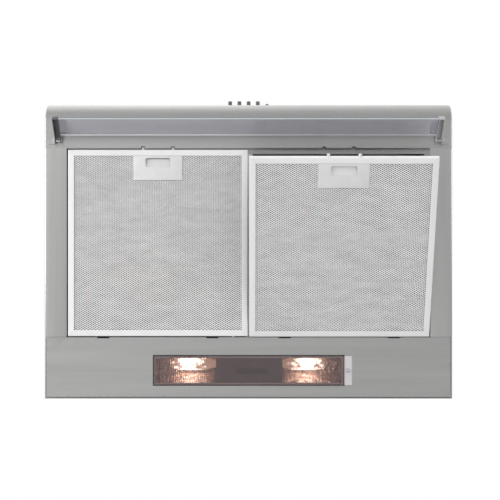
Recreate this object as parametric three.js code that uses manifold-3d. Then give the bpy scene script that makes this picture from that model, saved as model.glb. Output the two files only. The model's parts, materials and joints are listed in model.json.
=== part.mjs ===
// Under cabinet range hood, 600 mm class, with two grease filters, a glass visor and a lamp panel.
// Millimetres, +Z up. The origin is the centre of the flat top, which is screwed to the cabinet.
// +X is the user's right, -Y the front and +Y the wall.
import * as THREE from 'three';
import { mergeVertices } from 'three/addons/utils/BufferGeometryUtils.js';
import Module from 'manifold-3d';

const wasm = await Module();
wasm.setup();

// ---------------------------------------------------------------- driving dimensions
const WIDTH = 598;
const FRONT_Y = -217.5;
const BACK_Y = 218;
const HEIGHT = 140;
const SHEET = 1;
const GAP = 0.3;
const NOSE_R = 29;
const NOSE_END_Y = FRONT_Y + NOSE_R + 6;
const SEAM_Y = 127.8;

// The mouth that holds the two filters, seen in the underside.
const MOUTH_HALF_X = 266.5;
const MOUTH_FRONT_Y = -148.8;
const LEDGE = 7;
const LEDGE_TOP = -HEIGHT + 10.5;

const FILTER_WIDTH = 263.8;
const FILTER_DEPTH = 273.8;
const FILTER_HEIGHT = 9;
const FILTER_BORDER = 9;
const FILTER_SHEET = 1;
const FILTER_CENTRE_X = 133;
const FILTER_HINGE = { y: 129.5, z: -138 };
const FILTER_REAR_GAP = 3;
const RIGHT_FILTER_TILT = 21.2;
const TAB_OFFSET = 80;
const TAB_WIDTH = 16;

const LATCH_WIDTH = 71.5;
const LATCH_DEPTH = 36;
const WINDOW_WIDTH = 36;
const WINDOW_DEPTH = 13.5;
const WINDOW_START = 12.4;
const PIN_OFFSET = 22;
const PIN_R = 2.3;
const PIN_REACH = 4;

const VISOR_PIVOT = { x: 277.7, y: -159.8, z: -146.5 };
const VISOR_ANGLE = 46;
const VISOR_LENGTH = 43;
const PIVOT_R = 2.4;
const ARM_WIDTH = 8.6;
const ARM_HEIGHT = 7;
const ARM_WALL = 1.2;
const GLASS_REAR = 11.5;
const GLASS_THICKNESS = 4;
const GLASS_HALF_X = 273;

const CONTROL_Z = -75;
const CONTROL_PITCH = 14;
const BUTTON_R = 3;
const BUTTON_REACH = 8.5;
const PILOT_REACH = 5;
const SWITCH_FRONT = FRONT_Y + SHEET + GAP;
const SWITCH_DEPTH = 28;
const SWITCH_HALF_WIDTH = 38;
const SWITCH_HALF_HEIGHT = 11;

const LENS = { x0: -139.4, x1: 151.7, y0: 155, y1: 198.2, thickness: 2.4 };
const LENS_MIDDLE_Y = (LENS.y0 + LENS.y1) / 2;
const LENS_SCREW_X = 145.5;
const LAMP_WINDOW = { x0: -136, x1: 137, y0: 158.5, y1: 194.7 };
const TRAY_TOP = -100;
const TRAY_WALL = 1;
const TRAY_MARGIN = 2;
const BULB_Y = 168;
const BULB_Z = -122;
const BULB_R = 9.5;

const WHEEL = { y: 8, z: -64, r: 47, half: 38 };
const BLADES = 24;
const SHAFT_R = 3;
const MOTOR_X = 49.2;
const CHEEK_X = 46;
const BRACKET = { halfWidth: 40, y: -54, bottom: -60, foot: 16, sheet: 1.5 };
const OUTLET = { y0: 50.6, y1: 118, top: -3.6 };
const SCROLL = { tongueR: 52, bottomR: 62, cornerR: 32, sheet: 1.2, steps: 30, cornerSteps: 8 };
const DUCT_Y = 85;
const DUCT_R = 59.7;
const DUCT_WALL = 1.2;
const DUCT_TOP = 45;
const FLAP_Z = 8;
const FLAP_PIN_R = 1.5;
const FLAP_R = DUCT_R - DUCT_WALL - 1;
const FLAP_SHEET = 1;
const KNUCKLE = { pitch: 28, first: -42, length: 13, r: 3 };

// Holes in the top for the cabinet screws, and the cable gland's place.
const SCREW_X = 240;
const SCREW_Y = [-120, 160];
const GLAND = { x: -200, y: 195, r: 7.6 };

// ---------------------------------------------------------------- materials
function material(color, roughness, metalness, extra = {}) {
  return new THREE.MeshStandardMaterial({ color, roughness, metalness, ...extra });
}

const steel = () => material(0xb9bab9, 0.34, 1);
const zinc = () => material(0xc4c8cb, 0.42, 1);
const aluminium = () => material(0xe6e7e8, 0.45, 0.9);
const meshAluminium = () => material(0xb9babb, 0.4, 1);
const tintedGlass = () => material(0x9a9cab, 0.06, 0, { transparent: true, opacity: 0.45 });
const smokedLens = () => material(0x6b5750, 0.2, 0, { transparent: true, opacity: 0.7 });
const bulbGlass = () => material(0xfff3d6, 0.2, 0);
const whiteEnamel = () => material(0xf0eee8, 0.5, 0);
const darkPlastic = () => material(0x3b3c3e, 0.5, 0);
const greyPlastic = () => material(0x8b8d8f, 0.55, 0);
const redPlastic = () => material(0x7a2320, 0.25, 0);
const ceramic = () => material(0xe9e4da, 0.7, 0);

// ---------------------------------------------------------------- solids from three.js geometry
// A closed three.js geometry as a manifold solid, moved by a matrix where one is given.
function solid(geometry, matrix = new THREE.Matrix4()) {
  const plain = geometry.clone();
  plain.deleteAttribute('normal');
  plain.deleteAttribute('uv');
  plain.applyMatrix4(matrix);
  const merged = mergeVertices(plain, 1e-4);
  return new wasm.Manifold(new wasm.Mesh({
    numProp: 3,
    vertProperties: Float32Array.from(merged.attributes.position.array),
    triVerts: Uint32Array.from(merged.index.array),
  }));
}

function geometryOf(manifold) {
  const mesh = manifold.getMesh();
  const geometry = new THREE.BufferGeometry();
  geometry.setAttribute('position', new THREE.BufferAttribute(Float32Array.from(mesh.vertProperties), 3));
  geometry.setIndex(new THREE.BufferAttribute(Uint32Array.from(mesh.triVerts), 1));
  geometry.computeVertexNormals();
  return geometry;
}

// A block between two corners.
function block(x0, x1, y0, y1, z0, z1) {
  const box = new THREE.BoxGeometry(x1 - x0, y1 - y0, z1 - z0);
  const centre = new THREE.Matrix4().makeTranslation((x0 + x1) / 2, (y0 + y1) / 2, (z0 + z1) / 2);
  return solid(box, centre);
}

// A round bar between two points along one of the axes 'x', 'y' or 'z'.
function bar(axis, centre, from, to, radius, sides = 24) {
  const cylinder = new THREE.CylinderGeometry(radius, radius, to - from, sides);
  const middle = (from + to) / 2;
  const matrix = new THREE.Matrix4();
  if (axis === 'x') {
    matrix.makeRotationZ(-Math.PI / 2).setPosition(middle, centre[0], centre[1]);
  } else if (axis === 'y') {
    matrix.setPosition(centre[0], middle, centre[1]);
  } else {
    matrix.makeRotationX(Math.PI / 2).setPosition(centre[0], centre[1], middle);
  }
  return solid(cylinder, matrix);
}

// A profile drawn in the YZ plane and pulled along X.
function prismX(profile, x0, x1, curveSegments = 12) {
  const extruded = new THREE.ExtrudeGeometry(profile, { depth: x1 - x0, bevelEnabled: false, curveSegments });
  const basis = new THREE.Matrix4().makeBasis(
    new THREE.Vector3(0, 1, 0), new THREE.Vector3(0, 0, 1), new THREE.Vector3(1, 0, 0));
  return solid(extruded, basis.setPosition(x0, 0, 0));
}

// A profile of radius and height turned about Z.
function turned(points, sides = 48) {
  return new THREE.LatheGeometry(points.map(([r, z]) => new THREE.Vector2(r, z)), sides)
    .rotateX(Math.PI / 2);
}

// Two numbers in rising order.
function span(a, b) {
  return [Math.min(a, b), Math.max(a, b)];
}

function polygon(points) {
  return new THREE.Shape(points.map(([a, b]) => new THREE.Vector2(a, b)));
}

function joined(solids) {
  return solids.reduce((whole, next) => whole.add(next));
}

function cut(body, tools) {
  return tools.reduce((rest, tool) => rest.subtract(tool), body);
}

function part(name, shape, finish) {
  const geometry = shape.isBufferGeometry ? shape : geometryOf(shape);
  const mesh = new THREE.Mesh(geometry, finish);
  mesh.name = name;
  return mesh;
}

const hood = new THREE.Group();
const halfWidth = WIDTH / 2;
const innerX = halfWidth - SHEET - GAP;
const sides = [['left', -1], ['right', 1]];

// ---------------------------------------------------------------- housing
function topPanel() {
  const screwHoles = [-SCREW_X, SCREW_X].flatMap((x) => (
    SCREW_Y.map((y) => bar('z', [x, y], -SHEET - 1, 1, 3.2, 16))));
  const ductHole = bar('z', [0, DUCT_Y], -SHEET - 1, 1, DUCT_R + 0.8, 48);
  const glandHole = bar('z', [GLAND.x, GLAND.y], -SHEET - 1, 1, GLAND.r + 0.8, 20);
  const sheet = block(-halfWidth, halfWidth, FRONT_Y, BACK_Y, -SHEET, 0);
  return part('top_panel', cut(sheet, [ductHole, glandHole, ...screwHoles]), steel());
}

function backPanel() {
  const sheet = block(-innerX, innerX, BACK_Y - SHEET, BACK_Y, -HEIGHT, -SHEET - GAP);
  return part('back_panel', sheet, steel());
}

// The side follows the rounded nose at its lower front corner.
function sidePanel(side, sign) {
  const outline = new THREE.Shape();
  outline.moveTo(FRONT_Y, -SHEET - GAP);
  outline.lineTo(FRONT_Y, -HEIGHT + NOSE_R);
  outline.absarc(FRONT_Y + NOSE_R, -HEIGHT + NOSE_R, NOSE_R, Math.PI, 1.5 * Math.PI, false);
  outline.lineTo(BACK_Y, -HEIGHT);
  outline.lineTo(BACK_Y, -SHEET - GAP);
  const x0 = sign > 0 ? halfWidth - SHEET : -halfWidth;
  return part(`${side}_side_panel`, prismX(outline, x0, x0 + SHEET), steel());
}

// Front panel and nose in one folded sheet, with the holes for the controls.
function frontFascia() {
  const centreY = FRONT_Y + NOSE_R;
  const centreZ = -HEIGHT + NOSE_R;
  const profile = new THREE.Shape();
  profile.moveTo(FRONT_Y, -SHEET - GAP);
  profile.lineTo(FRONT_Y, centreZ);
  profile.absarc(centreY, centreZ, NOSE_R, Math.PI, 1.5 * Math.PI, false);
  profile.lineTo(NOSE_END_Y, -HEIGHT);
  profile.lineTo(NOSE_END_Y, -HEIGHT + SHEET);
  profile.lineTo(centreY, -HEIGHT + SHEET);
  profile.absarc(centreY, centreZ, NOSE_R - SHEET, 1.5 * Math.PI, Math.PI, true);
  profile.lineTo(FRONT_Y + SHEET, -SHEET - GAP);
  const holes = controlPositions().map((x) => (
    bar('y', [x, CONTROL_Z], FRONT_Y - 1, FRONT_Y + SHEET + 1, BUTTON_R + 0.4, 20)));
  return part('front_fascia', cut(prismX(profile, -innerX, innerX), holes), steel());
}

// U-shaped underside: a front band and two side strips, folded up and in round the mouth as a ledge.
function undersideFrame() {
  const rim = (inset, z0, z1) => block(
    -MOUTH_HALF_X + inset, MOUTH_HALF_X - inset, MOUTH_FRONT_Y + inset, SEAM_Y + 1, z0, z1);
  const plate = block(-innerX, innerX, NOSE_END_Y + GAP, SEAM_Y - GAP, -HEIGHT, -HEIGHT + SHEET);
  const collar = block(
    -MOUTH_HALF_X - SHEET, MOUTH_HALF_X + SHEET, MOUTH_FRONT_Y - SHEET, SEAM_Y - GAP, -HEIGHT, LEDGE_TOP);
  const bodyWithRim = cut(plate.add(collar), [
    rim(0, -HEIGHT - 1, LEDGE_TOP - SHEET),
    rim(LEDGE, -HEIGHT - 1, LEDGE_TOP + 1),
  ]);
  return part('underside_frame', cut(bodyWithRim, latchNotches()), steel());
}

// Open notches in the front edge of the mouth, which the latch pins stand in.
function latchNotches() {
  return latchPinPositions().map((x) => (
    block(x - 2.8, x + 2.8, MOUTH_FRONT_Y - 5.2, MOUTH_FRONT_Y + 1, -HEIGHT - 1, -HEIGHT + 7.6)));
}

function latchPinPositions() {
  return [-FILTER_CENTRE_X, FILTER_CENTRE_X].flatMap((x) => [x - PIN_OFFSET, x + PIN_OFFSET]);
}

// Panel behind the filters: the lamp window, and a raised lip with a slot for each filter tab.
function rearLampPanel() {
  const plate = block(-innerX, innerX, SEAM_Y, BACK_Y - SHEET - GAP, -HEIGHT, -HEIGHT + SHEET);
  const lip = block(-MOUTH_HALF_X, MOUTH_HALF_X, SEAM_Y, SEAM_Y + SHEET, -HEIGHT, LEDGE_TOP);
  const window = block(
    LAMP_WINDOW.x0, LAMP_WINDOW.x1, LAMP_WINDOW.y0, LAMP_WINDOW.y1, -HEIGHT - 1, -HEIGHT + SHEET + 1);
  const slots = tabPositions().map((x) => (
    block(x - TAB_WIDTH / 2 - 1, x + TAB_WIDTH / 2 + 1, SEAM_Y - 1, SEAM_Y + 1.6, -HEIGHT - 1, -HEIGHT + 4)));
  const screwHole = bar('z', [LENS_SCREW_X, LENS_MIDDLE_Y], -HEIGHT - 1, -HEIGHT + SHEET + 1, 1.9, 16);
  const holes = [window, screwHole, ...slots];
  return part('rear_lamp_panel', cut(plate.add(lip), holes), steel());
}

function tabPositions() {
  return [-FILTER_CENTRE_X, FILTER_CENTRE_X].flatMap((x) => [x - TAB_OFFSET, x + TAB_OFFSET]);
}

// Channel over the gap between the two filters.
function centreRail() {
  const y0 = MOUTH_FRONT_Y + LEDGE + GAP;
  const y1 = SEAM_Y - GAP;
  const channel = block(-6, 6, y0, y1, LEDGE_TOP - SHEET, LEDGE_TOP + 1.9);
  const hollow = block(-5, 5, y0 - 1, y1 + 1, LEDGE_TOP, LEDGE_TOP + 6);
  return part('centre_rail', channel.subtract(hollow), steel());
}

// ---------------------------------------------------------------- filters
// Each filter is built lying closed, with its hinge line on the local X axis: local y runs back to
// front as negative numbers and the underside is at local z = FILTER_FLOOR.
const FILTER_FLOOR = -HEIGHT - FILTER_HINGE.z;
const filterRear = -FILTER_REAR_GAP;
const filterFront = filterRear - FILTER_DEPTH;
const filterHalf = FILTER_WIDTH / 2;

// A block measured from the filter's front edge backwards and from its underside upwards.
function filterBlock(x0, x1, back0, back1, up0, up1) {
  return block(x0, x1, filterFront + back0, filterFront + back1, FILTER_FLOOR + up0, FILTER_FLOOR + up1);
}

function filterFrame(side) {
  const outer = filterBlock(-filterHalf, filterHalf, 0, FILTER_DEPTH, 0, FILTER_HEIGHT);
  const channel = filterBlock(
    -filterHalf + FILTER_SHEET, filterHalf - FILTER_SHEET,
    FILTER_SHEET, FILTER_DEPTH - FILTER_SHEET, FILTER_SHEET, FILTER_HEIGHT - FILTER_SHEET);
  const opening = filterBlock(
    -filterHalf + FILTER_BORDER, filterHalf - FILTER_BORDER,
    FILTER_BORDER, FILTER_DEPTH - FILTER_BORDER, -1, FILTER_HEIGHT + 1);
  const pinHoles = [-PIN_OFFSET, PIN_OFFSET].map((x) => (
    bar('y', [x, FILTER_FLOOR + FILTER_HEIGHT / 2], filterFront - 1, filterFront + 2, PIN_R + 0.4, 16)));
  const tabs = [-TAB_OFFSET, TAB_OFFSET].map((x) => (
    block(x - TAB_WIDTH / 2, x + TAB_WIDTH / 2, filterRear - FILTER_SHEET, 3, -0.4, 0.4)));
  const frame = cut(outer, [channel, opening, ...pinHoles]);
  return part(`${side}_filter_frame`, joined([frame, ...tabs]), aluminium());
}

// The pack of expanded aluminium layers, as one slab with a notch for the latch.
function filterMesh(side) {
  const reach = FILTER_SHEET + GAP;
  const slab = filterBlock(
    -filterHalf + reach, filterHalf - reach, reach, FILTER_DEPTH - reach, reach, FILTER_SHEET + 3.3);
  const latchHalf = LATCH_WIDTH / 2 + GAP;
  const latchRear = FILTER_BORDER + LATCH_DEPTH + 2 * GAP;
  const notch = filterBlock(-latchHalf, latchHalf, -1, latchRear, 0, FILTER_HEIGHT);
  return part(`${side}_filter_mesh`, slab.subtract(notch), meshAluminium());
}

// Shallow box round the latch, open to the front, with the finger window in its floor.
function latchHousing(side) {
  const half = LATCH_WIDTH / 2;
  const front = FILTER_BORDER + GAP;
  const rear = FILTER_BORDER + LATCH_DEPTH;
  const shell = filterBlock(-half, half, front, rear, 0.2, FILTER_HEIGHT - 0.4);
  const inside = filterBlock(-half + 1, half - 1, front - 1, rear - 1, 1.2, FILTER_HEIGHT - 1.4);
  const halfWindow = WINDOW_WIDTH / 2;
  const window = filterBlock(-halfWindow, halfWindow, WINDOW_START, WINDOW_START + WINDOW_DEPTH, -1, 3);
  return part(`${side}_latch_housing`, cut(shell, [inside, window]), aluminium());
}

// Sliding latch: a finger scoop that ramps down to the rear, and two pins that reach out in front.
function latchSlider(side) {
  const body = filterBlock(-24.8, 24.8, 10.8, 30, 1.6, FILTER_HEIGHT - 1.8);
  const scoop = polygon([
    [WINDOW_START, 0],
    [WINDOW_START, 6.2],
    [WINDOW_START + 8, 6.2],
    [WINDOW_START + WINDOW_DEPTH + 0.6, 1.6],
    [WINDOW_START + WINDOW_DEPTH + 0.6, 0],
  ].map(([back, up]) => [filterFront + back, FILTER_FLOOR + up]));
  const pinZ = FILTER_FLOOR + FILTER_HEIGHT / 2;
  const pins = [-PIN_OFFSET, PIN_OFFSET].map((x) => (
    bar('y', [x, pinZ], filterFront - PIN_REACH, filterFront + 12, PIN_R, 16)));
  const hollow = prismX(scoop, -WINDOW_WIDTH / 2 - 0.2, WINDOW_WIDTH / 2 + 0.2);
  return part(`${side}_latch_slider`, cut(joined([body, ...pins]), [hollow]), zinc());
}

class Helix extends THREE.Curve {
  constructor(radius, turns, start, end) {
    super();
    Object.assign(this, { radius, turns, start, end });
  }

  getPoint(t, target = new THREE.Vector3()) {
    const angle = 2 * Math.PI * this.turns * t;
    return target.set(
      this.radius * Math.cos(angle),
      this.start + (this.end - this.start) * t,
      FILTER_FLOOR + FILTER_HEIGHT / 2 + this.radius * Math.sin(angle));
  }
}

function latchSpring(side) {
  const turns = 5;
  const wire = new THREE.Shape().absarc(0, 0, 0.4, 0, 2 * Math.PI, false);
  const path = new Helix(2.1, turns, filterFront + 31, filterFront + 43.2);
  const coil = new THREE.ExtrudeGeometry(wire, { steps: turns * 10, curveSegments: 3, extrudePath: path });
  return part(`${side}_latch_spring`, solid(coil), steel());
}

function filterAssembly(side, sign, tilt) {
  const filter = new THREE.Group();
  filter.add(filterFrame(side), filterMesh(side), latchHousing(side), latchSlider(side), latchSpring(side));
  filter.position.set(sign * FILTER_CENTRE_X, FILTER_HINGE.y, FILTER_HINGE.z);
  filter.rotation.x = THREE.MathUtils.degToRad(tilt);
  return filter;
}

// ---------------------------------------------------------------- visor
// The visor is built lying flat, with its pivot line on the local X axis, then turned down to its stop.
function visorArm(side, sign) {
  const inner = VISOR_PIVOT.x - ARM_WIDTH / 2;
  const outer = VISOR_PIVOT.x + ARM_WIDTH / 2;
  const x = (a, b) => span(sign * a, sign * b);
  const channel = block(...x(inner, outer), -VISOR_LENGTH, -3.4, -ARM_HEIGHT / 2, ARM_HEIGHT / 2);
  const hollow = block(
    ...x(inner + ARM_WALL, outer - ARM_WALL),
    -VISOR_LENGTH + ARM_WALL, 0, -ARM_HEIGHT, ARM_HEIGHT / 2 - ARM_WALL);
  const lugs = [[inner, inner + ARM_WALL], [outer - ARM_WALL, outer]].map(([a, b]) => (
    bar('x', [0, 0], ...x(a, b), ARM_HEIGHT / 2, 24)
      .add(block(...x(a, b), -4, 0, -ARM_HEIGHT / 2, ARM_HEIGHT / 2))));
  const holes = bar('x', [0, 0], ...x(inner - 1, outer + 1), PIVOT_R + 0.3, 24);
  const tongue = block(...x(inner - 11, inner + 0.5), -VISOR_LENGTH + 3, -GLASS_REAR - 3,
    GLASS_THICKNESS / 2 + GAP, GLASS_THICKNESS / 2 + GAP + 1);
  const arm = joined([cut(channel, [hollow]), ...lugs, tongue]).subtract(holes);
  return part(`${side}_visor_arm`, arm, zinc());
}

function visorGlass() {
  const half = GLASS_THICKNESS / 2;
  const pane = block(-GLASS_HALF_X, GLASS_HALF_X, -VISOR_LENGTH, -GLASS_REAR, -half, half);
  return part('visor_glass', pane, tintedGlass());
}

function visorAssembly() {
  const visor = new THREE.Group();
  visor.add(visorGlass(), ...sides.map(([side, sign]) => visorArm(side, sign)));
  visor.position.set(0, VISOR_PIVOT.y, VISOR_PIVOT.z);
  visor.rotation.x = THREE.MathUtils.degToRad(VISOR_ANGLE);
  return visor;
}

// Angle bracket under the pan that carries the visor's pivot pin.
function visorBracket(side, sign) {
  const a = sign * (VISOR_PIVOT.x + ARM_WIDTH / 2 + 0.5);
  const b = sign * (VISOR_PIVOT.x + ARM_WIDTH / 2 + 2);
  const foot = sign * (VISOR_PIVOT.x + ARM_WIDTH / 2 + 11);
  const top = -HEIGHT - GAP;
  const ear = block(...span(a, b), VISOR_PIVOT.y - 5, VISOR_PIVOT.y + 5, VISOR_PIVOT.z - 4, top);
  const base = block(...span(a, foot), VISOR_PIVOT.y - 5, VISOR_PIVOT.y + 5, top - 1.2, top);
  const hole = bar('x', [VISOR_PIVOT.y, VISOR_PIVOT.z], ...span(a - sign, b + sign), PIVOT_R + GAP, 24);
  return part(`${side}_visor_bracket`, ear.add(base).subtract(hole), steel());
}

function visorPivot(side, sign) {
  const from = sign * (VISOR_PIVOT.x - ARM_WIDTH / 2 - 0.4);
  const to = sign * (VISOR_PIVOT.x + ARM_WIDTH / 2 + 3.6);
  const head = sign * (VISOR_PIVOT.x + ARM_WIDTH / 2 + 2.4);
  const centre = [VISOR_PIVOT.y, VISOR_PIVOT.z];
  const pin = bar('x', centre, ...span(from, to), PIVOT_R, 24);
  const rivetHead = bar('x', centre, ...span(head, to), PIVOT_R + 1.4, 24);
  return part(`${side}_visor_pivot`, pin.add(rivetHead), zinc());
}

// ---------------------------------------------------------------- controls
function controlPositions() {
  return [-2, -1, 0, 1, 2].map((step) => step * CONTROL_PITCH);
}

function switchBox() {
  const body = block(
    -SWITCH_HALF_WIDTH, SWITCH_HALF_WIDTH, SWITCH_FRONT, SWITCH_FRONT + SWITCH_DEPTH,
    CONTROL_Z - SWITCH_HALF_HEIGHT, CONTROL_Z + SWITCH_HALF_HEIGHT);
  const pockets = controlPositions().map((x) => (
    bar('y', [x, CONTROL_Z], SWITCH_FRONT - 1, SWITCH_FRONT + 20, BUTTON_R + 0.5, 20)));
  return part('switch_box', cut(body, pockets), darkPlastic());
}

// Push button with a shallow dished tip.
function pushButton(name, x) {
  const points = [
    [0, 0],
    [BUTTON_R - 0.8, 0],
    [BUTTON_R - 0.4, 0.15],
    [BUTTON_R, 0.6],
    [BUTTON_R, 22],
    [0, 22],
  ];
  const stem = turned(points, 24);
  stem.rotateX(-Math.PI / 2);
  stem.translate(x, FRONT_Y - BUTTON_REACH, CONTROL_Z);
  return part(name, solid(stem), darkPlastic());
}

function pilotLamp() {
  const dome = [[0, 0], [1.2, 0.25], [2.1, 0.9], [2.7, 1.9], [3, 3.2], [3, 14], [0, 14]];
  const lens = turned(dome, 24);
  lens.rotateX(-Math.PI / 2);
  lens.translate(2 * CONTROL_PITCH, FRONT_Y - PILOT_REACH, CONTROL_Z);
  return part('pilot_lamp', solid(lens), redPlastic());
}

// ---------------------------------------------------------------- lamps
// Smoked cover with a plain end flange that takes one screw.
function lampLens() {
  const z1 = -HEIGHT - GAP;
  const cover = block(LENS.x0, LENS.x1, LENS.y0, LENS.y1, z1 - LENS.thickness, z1);
  const hole = bar('z', [LENS_SCREW_X, LENS_MIDDLE_Y], z1 - LENS.thickness - 1, z1 + 1, 1.9, 16);
  return part('lamp_lens', cover.subtract(hole), smokedLens());
}

function lensScrew() {
  const under = -HEIGHT - GAP - LENS.thickness;
  const head = turned([[0, under - 2], [1.8, under - 1.8], [3, under - GAP], [0, under - GAP]], 20);
  const shank = bar('z', [0, 0], under - 1, -HEIGHT + 6, 1.5, 16);
  const screw = solid(head).add(shank);
  return part('lens_screw', screw.translate([LENS_SCREW_X, LENS_MIDDLE_Y, 0]), zinc());
}

function lampTray() {
  const z0 = -HEIGHT + SHEET + GAP;
  const roundWindow = (margin, bottom, top) => block(
    LAMP_WINDOW.x0 - margin, LAMP_WINDOW.x1 + margin,
    LAMP_WINDOW.y0 - margin, LAMP_WINDOW.y1 + margin, bottom, top);
  const box = roundWindow(TRAY_MARGIN + TRAY_WALL, z0, TRAY_TOP);
  const inside = roundWindow(TRAY_MARGIN, z0 - 1, TRAY_TOP - TRAY_WALL);
  return part('lamp_tray', box.subtract(inside), whiteEnamel());
}

function lampHolder(side, sign) {
  const socket = bar('x', [BULB_Y, BULB_Z], ...span(sign * 18, sign * 44), 11, 24);
  const bore = bar('x', [BULB_Y, BULB_Z], ...span(sign * 25, sign * 46), 8.6, 24);
  const foot = block(
    ...span(sign * 18, sign * 38), BULB_Y - 8, BULB_Y + 8, BULB_Z, TRAY_TOP - TRAY_WALL - GAP);
  return part(`${side}_lamp_holder`, socket.add(foot).subtract(bore), ceramic());
}

// Tubular bulb with a small screw base, lying along X.
function bulb(side, sign) {
  const points = [
    [0, 0], [5, 0], [7, 3], [7, 20], [5.5, 24], [BULB_R - 1.5, 30], [BULB_R, 38],
    [BULB_R, 76], [BULB_R - 1.2, 82], [BULB_R - 4.5, 86], [0, 87.5],
  ];
  const glass = turned(points, 24);
  glass.rotateY(sign * Math.PI / 2);
  glass.translate(sign * 27, BULB_Y, BULB_Z);
  return part(`${side}_bulb`, solid(glass), bulbGlass());
}

// ---------------------------------------------------------------- blower
// Outline of the scroll's inside, moved outwards by offset: down the outlet's front wall to the tongue,
// a spiral over the top and front of the wheel, a flat bottom, and a rear wall up to the outlet.
function scrollOutline(offset, extraHeight = 0) {
  const frontWall = OUTLET.y0 - offset;
  const rearWall = OUTLET.y1 + offset;
  const top = OUTLET.top + extraHeight;
  const tongueAngle = Math.acos((frontWall - WHEEL.y) / (SCROLL.tongueR + offset));
  const bottomAngle = 1.5 * Math.PI;
  const points = [[frontWall, top]];
  for (let i = 0; i <= SCROLL.steps; i += 1) {
    const share = i / SCROLL.steps;
    const angle = tongueAngle + (bottomAngle - tongueAngle) * share;
    const radius = SCROLL.tongueR + (SCROLL.bottomR - SCROLL.tongueR) * share * share + offset;
    points.push([WHEEL.y + radius * Math.cos(angle), WHEEL.z + radius * Math.sin(angle)]);
  }
  const cornerZ = WHEEL.z - SCROLL.bottomR - offset + SCROLL.cornerR;
  for (let i = 0; i <= SCROLL.cornerSteps; i += 1) {
    const angle = (Math.PI / 2) * (i / SCROLL.cornerSteps - 1);
    points.push([
      rearWall - SCROLL.cornerR + SCROLL.cornerR * Math.cos(angle),
      cornerZ + SCROLL.cornerR * Math.sin(angle),
    ]);
  }
  points.push([rearWall, top]);
  return points;
}

// Curved wall of the scroll, open at the outlet.
function scrollWrap() {
  const half = CHEEK_X - SHEET - GAP;
  const outer = prismX(polygon(scrollOutline(SCROLL.sheet)), -half, half);
  const inner = prismX(polygon(scrollOutline(0, 5)), -half - 1, half + 1);
  return part('scroll_wrap', outer.subtract(inner), zinc());
}

// Flat side of the scroll with a round hole at the wheel's centre.
function cheek(name, x0, holeR) {
  const plate = prismX(polygon(scrollOutline(SCROLL.sheet)), x0, x0 + SHEET);
  return part(name, plate.subtract(bar('x', [WHEEL.y, WHEEL.z], x0 - 1, x0 + 2, holeR, 40)), zinc());
}

// Squirrel-cage wheel: hub disc on the motor side, end ring on the inlet side, blades between.
function impeller() {
  const centre = [WHEEL.y, WHEEL.z];
  const disc = bar('x', centre, WHEEL.half - 1.6, WHEEL.half, WHEEL.r, 48);
  const ring = bar('x', centre, -WHEEL.half, -WHEEL.half + 2, WHEEL.r, 48)
    .subtract(bar('x', centre, -WHEEL.half - 1, -WHEEL.half + 3, WHEEL.r - 7, 48));
  const boss = bar('x', centre, WHEEL.half - 14, WHEEL.half, 8, 24);
  const bore = bar('x', centre, WHEEL.half - 16, WHEEL.half + 2, SHAFT_R + GAP, 24);
  const blades = [];
  for (let i = 0; i < BLADES; i += 1) {
    const angle = (2 * Math.PI * i) / BLADES;
    const plate = block(-WHEEL.half + 0.5, WHEEL.half - 0.5, WHEEL.r - 8, WHEEL.r - 0.6, -0.5, 0.5);
    const turnedBlade = plate
      .translate([0, -WHEEL.r + 4, 0])
      .rotate([25, 0, 0])
      .translate([0, WHEEL.r - 4, 0])
      .rotate([THREE.MathUtils.radToDeg(angle), 0, 0])
      .translate([0, WHEEL.y, WHEEL.z]);
    blades.push(turnedBlade);
  }
  return part('impeller', joined([disc, ring, boss, ...blades]).subtract(bore), darkPlastic());
}

function motorShaft() {
  const shaft = bar('x', [WHEEL.y, WHEEL.z], WHEEL.half - 13, MOTOR_X + 14, SHAFT_R, 24);
  return part('motor_shaft', shaft, steel());
}

function motor() {
  const points = [
    [0, 0], [16, 0], [16, 2], [38, 4], [40, 8], [40, 50], [38, 54], [14, 57], [12, 60], [0, 60],
  ];
  const shell = turned(points, 40);
  shell.rotateY(Math.PI / 2);
  shell.translate(MOTOR_X, WHEEL.y, WHEEL.z);
  const bore = bar('x', [WHEEL.y, WHEEL.z], MOTOR_X - 1, MOTOR_X + 15, SHAFT_R + GAP, 24);
  return part('motor', solid(shell).subtract(bore), zinc());
}

// Plate between the scroll's cheek and the motor.
function motorMount() {
  const centre = [WHEEL.y, WHEEL.z];
  const disc = bar('x', centre, CHEEK_X + GAP, CHEEK_X + GAP + 2.2, 30, 40);
  return part('motor_mount', disc.subtract(bar('x', centre, CHEEK_X, CHEEK_X + 3, 10, 24)), steel());
}

// Angle bracket that hangs the scroll from the top panel.
function blowerBracket() {
  const half = BRACKET.halfWidth;
  const back = BRACKET.y + BRACKET.sheet;
  const top = -SHEET - GAP;
  const web = block(-half, half, BRACKET.y, back, BRACKET.bottom, top);
  const foot = block(-half, half, BRACKET.y - BRACKET.foot, back, top - BRACKET.sheet, top);
  return part('blower_bracket', web.add(foot), steel());
}

// ---------------------------------------------------------------- outlet
function ductCollar() {
  const under = -SHEET - GAP;
  const points = [
    [DUCT_R - DUCT_WALL, under - 1.2], [DUCT_R + 8, under - 1.2], [DUCT_R + 8, under],
    [DUCT_R, under], [DUCT_R, DUCT_TOP], [DUCT_R - DUCT_WALL, DUCT_TOP],
    [DUCT_R - DUCT_WALL, under - 1.2],
  ];
  const collar = solid(turned(points, 64)).translate([0, DUCT_Y, 0]);
  const pinHole = bar('y', [0, FLAP_Z], DUCT_Y - DUCT_R - 1, DUCT_Y + DUCT_R + 1, FLAP_PIN_R + GAP, 16);
  return part('duct_collar', collar.subtract(pinHole), zinc());
}

function damperPin() {
  const reach = DUCT_R - 0.2;
  return part('damper_pin', bar('y', [0, FLAP_Z], DUCT_Y - reach, DUCT_Y + reach, FLAP_PIN_R, 16), zinc());
}

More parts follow.
